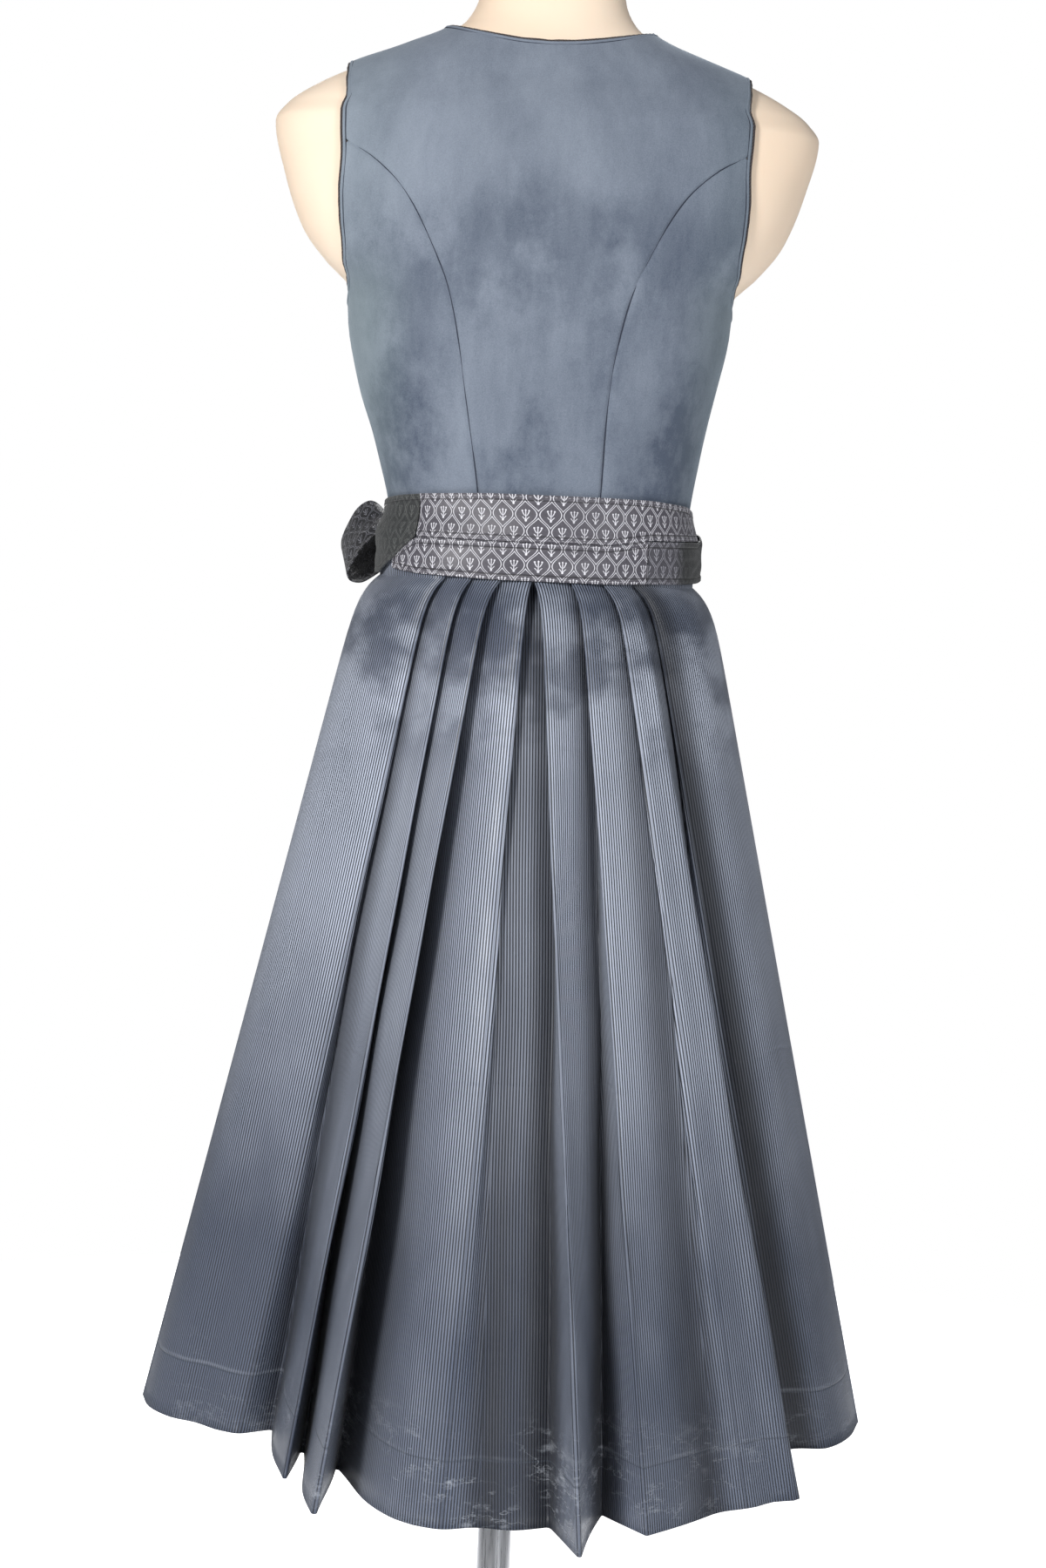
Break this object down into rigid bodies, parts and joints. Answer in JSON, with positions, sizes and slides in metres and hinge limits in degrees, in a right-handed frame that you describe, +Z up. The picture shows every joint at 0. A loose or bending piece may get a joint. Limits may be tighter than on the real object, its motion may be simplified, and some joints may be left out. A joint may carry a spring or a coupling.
{
  "type": "dirndl dress on a limbless dress form",
  "caption": "Sleeveless velvet dirndl with a pleated midi skirt, apron and tied sash, worn by a limbless dress form on a round-based stand.",
  "frame": {"origin": "middle of the bounding box on the floor, under the stand's base", "axes": "+Z up; +Y out of the back of the dress; +X to the wearer's left, where the bow is"},
  "size_m": [0.563, 0.5326, 1.5454],
  "materials": {
    "velvet": "crushed velvet",
    "skirt": "fine ribbed satin",
    "jacquard": "satin jacquard",
    "piping": "corded piping",
    "button": "satin",
    "form": "satin",
    "stand": "satin"
  },
  "bodies": {
    "root": {"form_torso": "form", "form_pole": "stand", "form_base": "stand", "bodice_back_centre": "velvet", "bodice_back_side_left": "velvet", "bodice_front_side_left": "velvet", "bodice_front_left": "velvet", "piping_armhole_left": "piping", "bodice_back_side_right": "velvet", "bodice_front_side_right": "velvet", "bodice_front_right": "velvet", "piping_armhole_right": "piping", "piping_neck": "piping", "button_1": "button", "button_2": "button", "button_3": "button", "button_4": "button", "button_5": "button", "button_6": "button", "button_7": "button", "skirt_back": "skirt", "skirt_front": "skirt", "apron_panel": "jacquard", "apron_band": "jacquard", "tie_upper_back": "jacquard", "tie_lower_back": "jacquard", "tie_side_left": "jacquard", "tie_side_right": "jacquard", "tie_front": "jacquard", "bow_knot": "jacquard", "bow_loop_back": "jacquard", "bow_loop_front": "jacquard", "bow_tail_left": "jacquard", "bow_tail_right": "jacquard"}
  },
  "joints": []
}
